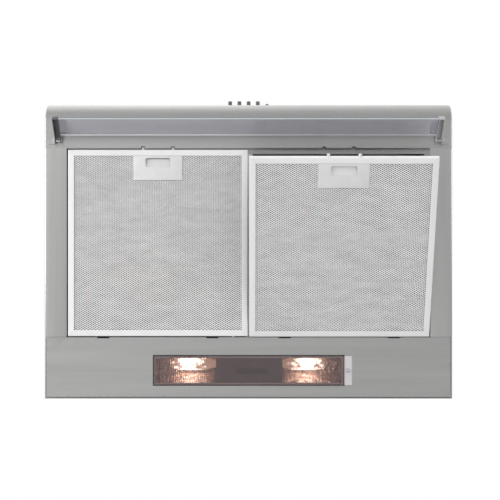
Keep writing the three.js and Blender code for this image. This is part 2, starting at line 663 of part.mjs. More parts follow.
// Half-round flap with knuckles round the pin, on its own side of the duct.
function damperFlap(side, sign) {
  const under = FLAP_Z - FLAP_SHEET / 2;
  const top = FLAP_Z + FLAP_SHEET / 2;
  const disc = bar('z', [0, DUCT_Y], under, top, FLAP_R, 64);
  const half = block(...span(sign * 3.4, sign * 80), DUCT_Y - 80, DUCT_Y + 80, -20, 60);
  const firstY = DUCT_Y + KNUCKLE.first + (sign > 0 ? 0 : KNUCKLE.pitch / 2);
  const starts = [0, 1, 2].map((i) => firstY + i * KNUCKLE.pitch);
  const knuckles = starts.map((y) => bar('y', [0, FLAP_Z], y, y + KNUCKLE.length, KNUCKLE.r, 20));
  const straps = starts.map((y) => block(...span(0, sign * 4), y, y + KNUCKLE.length, under, top));
  const bore = bar('y', [0, FLAP_Z], DUCT_Y - 80, DUCT_Y + 80, FLAP_PIN_R + GAP, 20);
  const flap = joined([disc.intersect(half), ...knuckles, ...straps]).subtract(bore);
  return part(`${side}_damper_flap`, flap, greyPlastic());
}

// ---------------------------------------------------------------- electrics
function terminalBox() {
  const rear = BACK_Y - SHEET - GAP;
  return part('terminal_box', block(-230, -170, rear - 30, rear, -70, -30), greyPlastic());
}

function runCapacitor() {
  const can = turned([[0, 0], [13, 0], [14, 1], [14, 44], [12, 46], [0, 46]], 32);
  can.rotateY(Math.PI / 2);
  can.translate(150, 190, -45);
  return part('run_capacitor', solid(can), whiteEnamel());
}

function cableGland() {
  const points = [
    [5, -9], [11, -9], [11, -SHEET - GAP], [GLAND.r, -SHEET - GAP], [GLAND.r, 3],
    [GLAND.r - 1.2, 6], [5, 6], [5, -9],
  ];
  return part('cable_gland', solid(turned(points, 24)).translate([GLAND.x, GLAND.y, 0]), darkPlastic());
}

// ---------------------------------------------------------------- assembly
hood.add(
  topPanel(), backPanel(), ...sides.map(([side, sign]) => sidePanel(side, sign)),
  frontFascia(), undersideFrame(), rearLampPanel(), centreRail());
hood.add(filterAssembly('left', -1, 0), filterAssembly('right', 1, RIGHT_FILTER_TILT));
hood.add(visorAssembly());
hood.add(...sides.flatMap(([side, sign]) => [visorBracket(side, sign), visorPivot(side, sign)]));
hood.add(switchBox(), pilotLamp());
['light_button', 'speed_1_button', 'speed_2_button', 'speed_3_button'].forEach((name, i) => {
  hood.add(pushButton(name, controlPositions()[i]));
});
hood.add(lampLens(), lensScrew(), lampTray());
hood.add(...sides.flatMap(([side, sign]) => [lampHolder(side, sign), bulb(side, sign)]));
hood.add(scrollWrap(), cheek('inlet_cheek', -CHEEK_X, 36), cheek('motor_cheek', CHEEK_X - 1, 12));
hood.add(impeller(), motorShaft(), motor(), motorMount());
hood.add(blowerBracket());
hood.add(ductCollar(), damperPin(), ...sides.map(([side, sign]) => damperFlap(side, sign)));
hood.add(terminalBox(), runCapacitor(), cableGland());

export default hood;
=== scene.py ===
"""Looks for the under cabinet range hood, seen from straight below with its right filter tilted down.

Lengths in the building functions are millimetres, and linked_object turns them into metres. Textures, lights
and the camera use metres.
"""
import json
import math

import bmesh
import bpy
from mathutils import Matrix, Vector


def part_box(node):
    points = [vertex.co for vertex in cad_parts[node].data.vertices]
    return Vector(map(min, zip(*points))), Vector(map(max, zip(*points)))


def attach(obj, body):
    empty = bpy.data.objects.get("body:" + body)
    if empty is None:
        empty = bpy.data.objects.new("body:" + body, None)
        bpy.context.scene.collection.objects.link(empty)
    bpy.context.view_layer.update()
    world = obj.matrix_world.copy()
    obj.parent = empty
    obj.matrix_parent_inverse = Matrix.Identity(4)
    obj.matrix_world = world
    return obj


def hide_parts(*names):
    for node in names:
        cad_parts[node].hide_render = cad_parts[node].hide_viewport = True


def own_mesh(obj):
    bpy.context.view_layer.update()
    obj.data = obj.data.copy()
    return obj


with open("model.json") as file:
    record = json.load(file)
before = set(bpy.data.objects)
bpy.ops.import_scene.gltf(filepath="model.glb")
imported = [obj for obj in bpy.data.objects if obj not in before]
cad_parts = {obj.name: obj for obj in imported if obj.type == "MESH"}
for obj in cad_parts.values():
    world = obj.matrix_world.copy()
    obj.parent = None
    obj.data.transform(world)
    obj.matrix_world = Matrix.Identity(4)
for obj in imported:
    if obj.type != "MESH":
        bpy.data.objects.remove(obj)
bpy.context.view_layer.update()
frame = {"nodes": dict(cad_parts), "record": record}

MM = 0.001


def box_mm(node):
    """Lowest and highest corner of a CAD node, in millimetres."""
    low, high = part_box(node)
    return [v / MM for v in low], [v / MM for v in high]


def middle_mm(node):
    """Middle of a CAD node's box, in millimetres."""
    low, high = box_mm(node)
    return [(a + b) / 2 for a, b in zip(low, high)]


# ---------------------------------------------------------------- driving dimensions, from the frame
TOP_LOW, TOP_HIGH = box_mm("top_panel")
HALF_WIDTH = TOP_HIGH[0]
FRONT_Y = TOP_LOW[1]
BACK_Y = TOP_HIGH[1]
FLOOR_Z = box_mm("back_panel")[0][2]
SHELL_TOP = box_mm("front_fascia")[1][2]
SEAM_Y = box_mm("rear_lamp_panel")[0][1]
PANEL_EDGE_Y = box_mm("rear_lamp_panel")[1][1]
LEDGE_Z = box_mm("underside_frame")[1][2]

joints = {j["name"]: j for j in frame["record"]["behaviour"]["joints"]}
RIGHT_TILT = -math.radians(joints["right_filter_hinge"]["range_deg"][0])
VISOR_OPEN = math.radians(joints["visor_hinge"]["range_deg"][1])
FILTER_CENTRE_X = joints["right_filter_hinge"]["pos_m"][0] / MM


# ---------------------------------------------------------------- driving dimensions, millimetres
# Housing
SHEET = 0.9
BEND_R = 2.2
NOSE_R = 29
SHELL_FRONT = FRONT_Y + 1.8
PANEL_EDGE_X = HALF_WIDTH - BEND_R - 0.7
SEAM_GAP = 0.3
HEM_R = 0.9
BACK_FLANGE = 6
COLLAR_FLANGE = 7.2
GLAND_HOLE_R = 8.4
SCREW_HOLE_R = 3.2
SCREW_X = (-240, 240)
SCREW_Y = (-120, 160)

# Opening that the filters close, with a ledge round it, pin notches in front and tab slots behind
MOUTH_HALF_X = 266.5
MOUTH_FRONT_Y = -148.8
LEDGE = 7
NOTCH_HALF = 2.6
NOTCH_DEPTH = 3.2
NOTCH_HEIGHT = 7.6
TAB_OFFSET = 80
TAB_HALF = 8
TAB_SLOT_HALF = 9
TAB_SLOT_DEPTH = 1.6

# Controls
CONTROL_R = 3.4
POCKET_DEPTH = 19
CONTROLS = ["light_button", "speed_1_button", "speed_2_button", "speed_3_button", "pilot_lamp"]

# Filters and their latches, with heights from the filter's underside
FILTER_BORDER = 9
FILTER_SHEET = 1
FILTER_HEIGHT = 9
MITRE_GAP = 0.08
LATCH_WIDTH = 71.5
LATCH_DEPTH = 36
LATCH_GAP = 0.3
PIN_OFFSET = 22
PIN_Z = 4.5
PIN_R = 2.3
PIN_HOLE_R = 2.7

# Lamps
LAMP_HALF_X = 136.5
LAMP_FRONT_Y = 158.5
LAMP_REAR_Y = 194.7
FLANGE_WIDTH = 11.4
FILAMENT_X = 88
REFLECTOR_START_X = 50
REFLECTOR_LENGTH = 84

# Visor
GLASS_HALF_X = 273.0
TONGUE_EDGE_X = 273.2

SMOOTH_ANGLE = 35


# ---------------------------------------------------------------- materials
class Surface:
    """A Principled material with a few short ways to add procedural detail."""

    def __init__(self, name, colour, metallic=0.0, roughness=0.5, **sockets):
        self.material = bpy.data.materials.new(name)
        self.material.use_nodes = True
        self.nodes = self.material.node_tree.nodes
        self.links = self.material.node_tree.links
        self.shader = self.nodes["Principled BSDF"]
        self.colour = (*colour, 1.0)
        self.shader.inputs["Base Color"].default_value = self.colour
        self.shader.inputs["Metallic"].default_value = metallic
        self.shader.inputs["Roughness"].default_value = roughness
        for socket, value in sockets.items():
            self.shader.inputs[socket.replace("_", " ")].default_value = value
        self.coords = None

    def place(self, scale):
        """Object coordinates in metres, stretched by scale."""
        if self.coords is None:
            self.coords = self.nodes.new("ShaderNodeTexCoord")
        mapping = self.nodes.new("ShaderNodeMapping")
        mapping.inputs["Scale"].default_value = scale
        self.links.new(self.coords.outputs["Object"], mapping.inputs["Vector"])
        return mapping.outputs["Vector"]

    def noise(self, scale, detail=4.0, roughness=0.6):
        """Noise whose grain is stretched by scale, a number of cells per metre on each axis."""
        node = self.nodes.new("ShaderNodeTexNoise")
        node.inputs["Scale"].default_value = 1.0
        node.inputs["Detail"].default_value = detail
        node.inputs["Roughness"].default_value = roughness
        self.links.new(self.place(scale), node.inputs["Vector"])
        return node.outputs["Fac"]

    def brush_along(self, axis, stretch):
        """Stretches reflections across the brushing, which runs along an object axis."""
        direction = self.nodes.new("ShaderNodeVectorTransform")
        direction.vector_type = "VECTOR"
        direction.convert_from = "OBJECT"
        direction.convert_to = "WORLD"
        direction.inputs["Vector"].default_value = [float(i == axis) for i in range(3)]
        self.links.new(direction.outputs["Vector"], self.shader.inputs["Tangent"])
        self.shader.inputs["Anisotropic"].default_value = stretch
        self.shader.inputs["Anisotropic Rotation"].default_value = 0.25

    def spread(self, value, low, high, start=0.3, end=0.7):
        """Maps start to end onto low to high, and holds the ends."""
        node = self.nodes.new("ShaderNodeMapRange")
        node.inputs["From Min"].default_value = start
        node.inputs["From Max"].default_value = end
        node.inputs["To Min"].default_value = low
        node.inputs["To Max"].default_value = high
        self.links.new(value, node.inputs["Value"])
        return node.outputs["Result"]

    def math(self, operation, value, other=0.0):
        node = self.nodes.new("ShaderNodeMath")
        node.operation = operation
        self.links.new(value, node.inputs[0])
        if isinstance(other, (int, float)):
            node.inputs[1].default_value = other
        else:
            self.links.new(other, node.inputs[1])
        return node.outputs["Value"]

    def distance_across(self):
        """Distance from the hood's middle plane, in metres."""
        split = self.nodes.new("ShaderNodeSeparateXYZ")
        self.links.new(self.place((1.0, 1.0, 1.0)), split.inputs["Vector"])
        return self.math("ABSOLUTE", split.outputs["X"])

    def vary_roughness(self, value, low, high):
        self.links.new(self.spread(value, low, high), self.shader.inputs["Roughness"])

    def vary_colour(self, value, low, high):
        """Multiplies the base colour by low to high."""
        mix = self.nodes.new("ShaderNodeMix")
        mix.data_type = "RGBA"
        mix.inputs[6].default_value = (*[c * low for c in self.colour[:3]], 1.0)
        mix.inputs[7].default_value = (*[min(1.0, c * high) for c in self.colour[:3]], 1.0)
        self.links.new(self.spread(value, 0.0, 1.0), mix.inputs[0])
        self.links.new(mix.outputs[2], self.shader.inputs["Base Color"])

    def bump(self, value, height_mm, strength=1.0):
        node = self.nodes.new("ShaderNodeBump")
        node.inputs["Strength"].default_value = strength
        node.inputs["Distance"].default_value = height_mm * MM
        self.links.new(value, node.inputs["Height"])
        self.links.new(node.outputs["Normal"], self.shader.inputs["Normal"])


def brushed_steel(name, along, colour, roughness, stretch):
    """Stainless sheet with its brushing along the axis numbered along."""
    surface = Surface(name, colour, metallic=1.0)
    streak_scale = [1500.0, 1500.0, 1500.0]
    streak_scale[along] = 14.0
    broad_scale = [60.0, 60.0, 60.0]
    broad_scale[along] = 3.0
    streaks = surface.noise(streak_scale, detail=3.0)
    broad = surface.noise(broad_scale, detail=2.0)
    surface.vary_roughness(streaks, *roughness)
    surface.vary_colour(broad, 0.94, 1.05)
    surface.bump(streaks, 0.012, 0.6)
    surface.brush_along(along, stretch)
    return surface.material


def plated_steel():
    surface = Surface("plated_steel", (0.62, 0.64, 0.66), metallic=1.0)
    spangle = surface.noise((90.0, 90.0, 90.0), detail=5.0)
    surface.vary_roughness(spangle, 0.28, 0.48)
    surface.vary_colour(spangle, 0.88, 1.06)
    return surface.material


def arm_metal(name, shade, tongue_shade, metallic):
    """Visor arm with painted shade in its colour, set for the light on that side; the tongue that grips the
    glass, on the inside of the arm, is painted brighter as painted light.
    """
    surface = Surface(name, (tongue_shade, tongue_shade, tongue_shade), metallic=metallic)
    surface.vary_roughness(surface.noise((90.0, 90.0, 90.0), detail=5.0), 0.28, 0.48)
    on_tongue = surface.math("LESS_THAN", surface.distance_across(), TONGUE_EDGE_X * MM)
    surface.vary_colour(on_tongue, shade / tongue_shade, 1.0)
    return surface.material


def frame_aluminium():
    surface = Surface("frame_aluminium", (0.88, 0.885, 0.88), metallic=0.2)
    grain = surface.noise((900.0, 900.0, 900.0), detail=3.0)
    surface.vary_roughness(grain, 0.38, 0.5)
    surface.vary_colour(surface.noise((25.0, 25.0, 25.0)), 0.95, 1.0)
    surface.bump(grain, 0.01, 0.4)
    return surface.material


def latch_aluminium():
    surface = Surface("latch_aluminium", (0.77, 0.775, 0.77), metallic=0.2)
    grain = surface.noise((700.0, 700.0, 700.0), detail=3.0)
    surface.vary_roughness(grain, 0.35, 0.5)
    surface.vary_colour(surface.noise((60.0, 60.0, 60.0)), 0.96, 1.03)
    surface.bump(grain, 0.01, 0.4)
    return surface.material


def mesh_aluminium(name, shade, metallic):
    """Aluminium of one expanded layer; the deeper layers are painted darker, as painted shade inside the
    filter pack.
    """
    surface = Surface(name, (shade, shade, shade), metallic=metallic)
    grain = surface.noise((260.0, 260.0, 260.0), detail=3.0)
    surface.vary_roughness(grain, 0.35, 0.55)
    surface.vary_colour(surface.noise((30.0, 75.0, 75.0)), 0.90, 1.06)
    return surface.material


def plastic(name, colour, roughness):
    surface = Surface(name, colour)
    grain = surface.noise((2200.0, 2200.0, 2200.0), detail=2.0)
    surface.vary_roughness(grain, roughness - 0.06, roughness + 0.08)
    surface.vary_colour(surface.noise((120.0, 120.0, 120.0)), 0.92, 1.08)
    surface.bump(grain, 0.02, 0.5)
    return surface.material


def crumpled_reflector():
    surface = Surface("lamp_reflector_sheet", (0.72, 0.62, 0.58), metallic=0.8)
    crumple = surface.noise((130.0, 130.0, 130.0), detail=1.0)
    surface.vary_roughness(crumple, 0.12, 0.26)
    surface.bump(crumple, 5.0, 1.0)
    return surface.material


def visor_glass_material():
    surface = Surface("visor_tint", (0.90, 0.895, 0.96), roughness=0.02, Transmission_Weight=1.0, IOR=1.45)
    surface.vary_roughness(surface.noise((30.0, 30.0, 30.0)), 0.015, 0.05)
    return surface.material


def glass_edge_material(name, colour):
    surface = Surface(name, colour, roughness=0.25)
    surface.vary_colour(surface.noise((60.0, 400.0, 400.0)), 0.95, 1.03)
    return surface.material


def lens_material():
    surface = Surface("smoked_lens", (0.66, 0.56, 0.56), roughness=0.06, Transmission_Weight=0.92, IOR=1.3)
    surface.vary_roughness(surface.noise((300.0, 300.0, 300.0)), 0.04, 0.10)
    return surface.material


def clear_plastic_material():
    surface = Surface("clear_end_flange", (0.62, 0.60, 0.61), roughness=0.3)
    surface.vary_colour(surface.noise((300.0, 300.0, 300.0)), 0.93, 1.04)
    return surface.material


def bulb_material():
    """Frosted glass that glows most round its filament, in blotches."""
    surface = Surface("lit_bulb", (1.0, 0.9, 0.75), roughness=0.3, Emission_Strength=6.0)
    off_filament = surface.math("SUBTRACT", surface.distance_across(), FILAMENT_X * MM)
    away = surface.math("ABSOLUTE", off_filament)
    glow = surface.nodes.new("ShaderNodeValToRGB")
    glow.color_ramp.elements[0].color = (1.0, 0.90, 0.74, 1.0)
    glow.color_ramp.elements[1].color = (0.05, 0.03, 0.02, 1.0)
    blotch = surface.spread(surface.noise((170.0, 170.0, 170.0), detail=2.0), -0.010, 0.014, 0.35, 0.65)
    fade = surface.spread(surface.math("ADD", away, blotch), 0.0, 1.0, 0.0, 0.022)
    surface.links.new(fade, glow.inputs["Fac"])
    surface.links.new(glow.outputs["Color"], surface.shader.inputs["Emission Color"])
    surface.vary_colour(surface.noise((200.0, 200.0, 200.0)), 0.95, 1.0)
    return surface.material


steel_x = brushed_steel("brushed_steel_across", 0, (0.50, 0.50, 0.495), (0.30, 0.42), 0.85)
steel_y = brushed_steel("brushed_steel_lengthways", 1, (0.47, 0.47, 0.465), (0.18, 0.26), 0.4)
plated = plated_steel()
aluminium = frame_aluminium()
latch_grey = latch_aluminium()
expanded = mesh_aluminium("mesh_front_layer", 0.92, 0.25)
# The middle and back layers are the front layer's aluminium painted dark, as painted shade deep in the pack.
expanded_middle_painted_shade = mesh_aluminium("mesh_middle_layer_painted_shade", 0.30, 0.3)
expanded_back_painted_shade = mesh_aluminium("mesh_back_layer_painted_shade", 0.10, 0.3)
dark_plastic = plastic("dark_plastic", (0.035, 0.035, 0.04), 0.4)
grey_plastic = plastic("grey_plastic", (0.28, 0.29, 0.30), 0.5)
ceramic = plastic("ceramic", (0.80, 0.77, 0.70), 0.35)
enamel = plastic("white_enamel", (0.84, 0.82, 0.78), 0.4)
tray_metal = plastic("tray_metal", (0.42, 0.35, 0.33), 0.35)
lamp_cover = plastic("lamp_cover", (0.10, 0.10, 0.13), 0.4)
pilot_smoked = plastic("pilot_lens", (0.15, 0.11, 0.11), 0.2)
button_plastic = plastic("button_plastic", (0.11, 0.11, 0.115), 0.35)
# The arms are one metal: the left is painted dark as the shade inside its channel, and the right is painted
# lighter as painted light on that side.
arm_painted_shade = arm_metal("arm_metal_left_painted_shade", 0.13, 0.60, 0.6)
arm_painted_light = arm_metal("arm_metal_right_painted_light", 0.5, 0.95, 0.3)
reflector = crumpled_reflector()
tint = visor_glass_material()
glass_edge = glass_edge_material("polished_edge", (0.90, 0.92, 0.94))
glass_front = glass_edge_material("polished_front_edge", (0.22, 0.26, 0.28))
smoked = lens_material()
clear_flange = clear_plastic_material()
lit = bulb_material()


# ---------------------------------------------------------------- helpers
def linked_object(bm, name):
    """Turns a bmesh in millimetres into an object in the scene."""
    mesh = bpy.data.meshes.new(name)
    bm.to_mesh(mesh)
    bm.free()
    mesh.transform(Matrix.Scale(MM, 4))
    item = bpy.data.objects.new(name, mesh)
    bpy.context.scene.collection.objects.link(item)
    return item


def new_piece(bm, name, materials, body, replaced):
    """Turns a bmesh into a piece that rides on a body."""
    piece = linked_object(bm, name)
    for material in materials:
        piece.data.materials.append(material)
    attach(piece, body)
    if replaced:
        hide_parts(*replaced)
    return piece


def finish_mesh(bm, name, materials, body, replaced, smooth_angle=SMOOTH_ANGLE):
    """A piece with its faces turned the same way and smoothed."""
    bmesh.ops.recalc_face_normals(bm, faces=bm.faces)
    piece = new_piece(bm, name, materials, body, replaced)
    smooth(piece.data, smooth_angle)
    return piece


def smooth(mesh, angle=SMOOTH_ANGLE):
    """Smooth faces with sharp edges where they turn more than angle degrees."""
    mesh.polygons.foreach_set("use_smooth", [True] * len(mesh.polygons))
    mesh.set_sharp_from_angle(angle=math.radians(angle))


def add_faces(bm, quads):
    """Faces from corner lists, with corners that meet shared."""
    found = {}
    for quad in quads:
        corners = []
        for point in quad:
            key = tuple(round(v, 4) for v in point)
            if key not in found:
                found[key] = bm.verts.new(point)
            corners.append(found[key])
        bm.faces.new(corners)


def strip(profile_a, profile_b):
    """Quads between two lists of points of the same length."""
    pairs = list(zip(profile_a, profile_b))
    return [(a0, b0, b1, a1) for (a0, b0), (a1, b1) in zip(pairs, pairs[1:])]


def block_faces(bm, low, high):
    """A closed box between two corners."""
    middle = [(a + b) / 2 for a, b in zip(low, high)]
    size = [b - a for a, b in zip(low, high)]
    matrix = Matrix.Translation(middle) @ Matrix.Diagonal((*size, 1.0))
    return bmesh.ops.create_cube(bm, size=1.0, matrix=matrix)["verts"]


def applied(piece):
    """Makes a piece's modifiers part of its mesh, then drops them."""
    bpy.context.view_layer.update()
    evaluated = piece.evaluated_get(bpy.context.evaluated_depsgraph_get())
    shaped = bpy.data.meshes.new_from_object(evaluated)
    piece.modifiers.clear()
    piece.data = shaped
    smooth(shaped)


def cut_holes(piece, cutters):
    """Takes each cutter's shape out of a piece, and removes the cutters."""
    for cutter in cutters:
        hole = piece.modifiers.new("hole", "BOOLEAN")
        hole.operation = "DIFFERENCE"
        hole.solver = "EXACT"
        hole.object = cutter
    applied(piece)
    for cutter in cutters:
        bpy.data.objects.remove(cutter)


def thicken(piece, thickness):
    """Gives a skin its sheet thickness, inwards."""
    sheet = piece.modifiers.new("sheet", "SOLIDIFY")
    sheet.thickness = thickness * MM
    sheet.offset = -1.0
    sheet.use_even_offset = True
    applied(piece)


def rod(bm, centre, axis, radius, length, segments):
    """Adds a round rod along the axis 'Y' or 'Z', centred on a point."""
    turn = Matrix.Rotation(math.pi / 2, 4, "X") if axis == "Y" else Matrix()
    bmesh.ops.create_cone(bm, cap_ends=True, segments=segments, radius1=radius, radius2=radius, depth=length,
                          matrix=Matrix.Translation(centre) @ turn)


def round_cutter(centre, axis, radius, length, segments=32, matrix=Matrix()):
    """A round tool for cut_holes."""
    bm = bmesh.new()
    rod(bm, centre, axis, radius, length, segments)
    bm.transform(matrix)
    return linked_object(bm, "hole")


def rounded_outline(x0, x1, y0, y1, radius, steps=5):
    """Points round a rectangle with rounded corners, anticlockwise."""
    points = []
    for cx, cy, start in ((x1 - radius, y1 - radius, 0), (x0 + radius, y1 - radius, 90),
                          (x0 + radius, y0 + radius, 180), (x1 - radius, y0 + radius, 270)):
        for i in range(steps + 1):
            angle = math.radians(start + 90 * i / steps)
            points.append((cx + radius * math.cos(angle), cy + radius * math.sin(angle)))
    return points


def prism(bm, outline, z0, z1):
    """A closed upright prism from an outline in the XY plane."""
    low = [bm.verts.new((x, y, z0)) for x, y in outline]
    high = [bm.verts.new((x, y, z1)) for x, y in outline]
    bm.faces.new(low[::-1])
    bm.faces.new(high)
    for i in range(len(outline)):
        j = (i + 1) % len(outline)
        bm.faces.new((low[i], low[j], high[j], high[i]))


def facing_out(piece):
    """Turns an open skin over if most of its level area faces up instead of down."""
    down = sum(p.area for p in piece.data.polygons if p.normal.z < -0.9)
    up = sum(p.area for p in piece.data.polygons if p.normal.z > 0.9)
    if up > down:
        piece.data.flip_normals()


def refine_cad(node, material, bevel_mm=0.3, segments=2):
    """Carries a CAD node over with its own shape, softened edges and a material."""
    piece = frame["nodes"][node]
    piece.data.materials.clear()
    piece.data.materials.append(material)
    weld = piece.modifiers.new("weld", "WELD")
    weld.merge_threshold = 0.00001
    if bevel_mm:
        bevel = piece.modifiers.new("edges", "BEVEL")
        bevel.width = bevel_mm * MM
        bevel.segments = segments
        bevel.limit_method = "ANGLE"
        bevel.angle_limit = math.radians(40)
    smooth(piece.data)


# ---------------------------------------------------------------- housing
def notch_centres():
    """Where the four latch pins meet the front band."""
    centres = []
    for side in ("left", "right"):
        middle = middle_mm(f"{side}_latch_slider")[0]
        centres += [middle - PIN_OFFSET, middle + PIN_OFFSET]
    return centres


def nose_section():
    """The front panel's section: down its face, round the nose and back to the mouth, as y and z."""
    nose_y, nose_z = SHELL_FRONT + NOSE_R, FLOOR_Z + NOSE_R
    section = [(SHELL_FRONT, SHELL_TOP)]
    for i in range(15):
        angle = math.radians(180 + 90 * i / 14)
        section.append((nose_y + NOSE_R * math.cos(angle), nose_z + NOSE_R * math.sin(angle)))
    return section + [(MOUTH_FRONT_Y - NOTCH_DEPTH, FLOOR_Z), (MOUTH_FRONT_Y, FLOOR_Z)]


def front_faces(section):
    """Front panel, nose, front band and front ledge, with a gap for each pin notch."""
    notches = notch_centres()
    columns = sorted([-HALF_WIDTH, -MOUTH_HALF_X, MOUTH_HALF_X, HALF_WIDTH]
                     + [x + d for x in notches for d in (-NOTCH_HALF, NOTCH_HALF)])
    quads = []
    for x0, x1 in zip(columns, columns[1:]):
        middle = (x0 + x1) / 2
        is_notch = any(abs(middle - x) < 1 for x in notches)
        rows = section[:-1] if is_notch else section
        quads += strip([(x0, y, z) for y, z in rows], [(x1, y, z) for y, z in rows])
        if abs(middle) < MOUTH_HALF_X:
            lip = [FLOOR_Z, FLOOR_Z + NOTCH_HEIGHT, LEDGE_Z][is_notch:]
            quads += strip([(x0, MOUTH_FRONT_Y, z) for z in lip], [(x1, MOUTH_FRONT_Y, z) for z in lip])
            a, b = max(x0, -MOUTH_HALF_X + LEDGE), min(x1, MOUTH_HALF_X - LEDGE)
            quads.append(((x0, MOUTH_FRONT_Y, LEDGE_Z), (x1, MOUTH_FRONT_Y, LEDGE_Z),
                          (b, MOUTH_FRONT_Y + LEDGE, LEDGE_Z), (a, MOUTH_FRONT_Y + LEDGE, LEDGE_Z)))
    return quads


def side_faces(sign, section):
    """Side panel, the strip beside the mouth and its ledge."""
    seam = SEAM_Y - SEAM_GAP
    outer, inner, lip = sign * HALF_WIDTH, sign * MOUTH_HALF_X, sign * (MOUTH_HALF_X - LEDGE)
    flange = sign * (PANEL_EDGE_X + 0.4)
    return [
        ((outer, MOUTH_FRONT_Y, FLOOR_Z), (inner, MOUTH_FRONT_Y, FLOOR_Z),
         (inner, seam, FLOOR_Z), (flange, seam, FLOOR_Z), (outer, seam, FLOOR_Z)),
        ((outer, seam, FLOOR_Z), (flange, seam, FLOOR_Z),
         (flange, BACK_Y, FLOOR_Z), (outer, BACK_Y, FLOOR_Z)),
        ((inner, MOUTH_FRONT_Y, FLOOR_Z), (inner, seam, FLOOR_Z),
         (inner, seam, LEDGE_Z), (inner, MOUTH_FRONT_Y, LEDGE_Z),
         (inner, MOUTH_FRONT_Y, FLOOR_Z + NOTCH_HEIGHT)),
        ((inner, MOUTH_FRONT_Y, LEDGE_Z), (inner, seam, LEDGE_Z),
         (lip, seam, LEDGE_Z), (lip, MOUTH_FRONT_Y + LEDGE, LEDGE_Z)),
        [(outer, y, z) for y, z in section]
        + [(outer, seam, FLOOR_Z), (outer, BACK_Y, FLOOR_Z), (outer, BACK_Y, SHELL_TOP)],
    ]


def round_bends(bm):
    """Rounds the shell's outer corners, then the folds round the mouth."""
    bends = [e for e in bm.edges if len(e.link_faces) == 2
             and all(abs(abs(v.co.x) - HALF_WIDTH) < 0.01 for v in e.verts)
             and not all(abs(abs(f.normal.x)) > 0.9 for f in e.link_faces)]
    bmesh.ops.bevel(bm, geom=bends, offset=BEND_R, segments=5, profile=0.5, affect="EDGES",
                    clamp_overlap=True)
    folds = [e for e in bm.edges if len(e.link_faces) == 2 and e.calc_face_angle(0) > 1.2
             and all(abs(v.co.x) < MOUTH_HALF_X + 0.1 and v.co.y > MOUTH_FRONT_Y - 0.1 for v in e.verts)]
    bmesh.ops.bevel(bm, geom=folds, offset=HEM_R, segments=3, profile=0.5, affect="EDGES",
                    clamp_overlap=True)


def canopy_shell():
    """Front panel, nose, sides and mouth frame: one folded sheet, brushed lengthways at the sides."""
    section = nose_section()
    bm = bmesh.new()
    add_faces(bm, front_faces(section) + side_faces(-1, section) + side_faces(1, section))
    bmesh.ops.recalc_face_normals(bm, faces=bm.faces)
    round_bends(bm)
    for face in bm.faces:
        centre = face.calc_center_median()
        on_strip = abs(centre.x) > MOUTH_HALF_X and centre.y > MOUTH_FRONT_Y - 1 and face.normal.z < -0.5
        face.material_index = 1 if on_strip or abs(face.normal.x) > 0.6 else 0
    replaced = ("front_fascia", "left_side_panel", "right_side_panel", "underside_frame")
    shell = finish_mesh(bm, "canopy_shell", [steel_x, steel_y], "hood", replaced)
    facing_out(shell)
    thicken(shell, SHEET)
    cutters = []
    for name in CONTROLS:
        x, y, z = middle_mm(name)
        cutters.append(round_cutter((x, FRONT_Y, z), "Y", CONTROL_R, 8))
    cut_holes(shell, cutters)


def top_sheet():
    """Flat top with a rounded edge, and holes for the duct, the cable gland and the cabinet screws."""
    bm = bmesh.new()
    prism(bm, rounded_outline(-HALF_WIDTH, HALF_WIDTH, SHELL_FRONT, BACK_Y, 3), TOP_LOW[2], TOP_HIGH[2])
    rim = [e for e in bm.edges if abs(e.verts[0].co.z - e.verts[1].co.z) < 0.01]
    bmesh.ops.bevel(bm, geom=rim, offset=0.3, segments=2, affect="EDGES")
    sheet = finish_mesh(bm, "top_sheet", [steel_x], "hood", ("top_panel",))
    collar_edge = box_mm("duct_collar")[1][0]
    gland = middle_mm("cable_gland")
    holes = [(0, middle_mm("duct_collar")[1], collar_edge - COLLAR_FLANGE)]
    holes.append((gland[0], gland[1], GLAND_HOLE_R))
    holes += [(x, y, SCREW_HOLE_R) for x in SCREW_X for y in SCREW_Y]
    cut_holes(sheet, [round_cutter((x, y, 0), "Z", radius, 6, 48) for x, y, radius in holes])


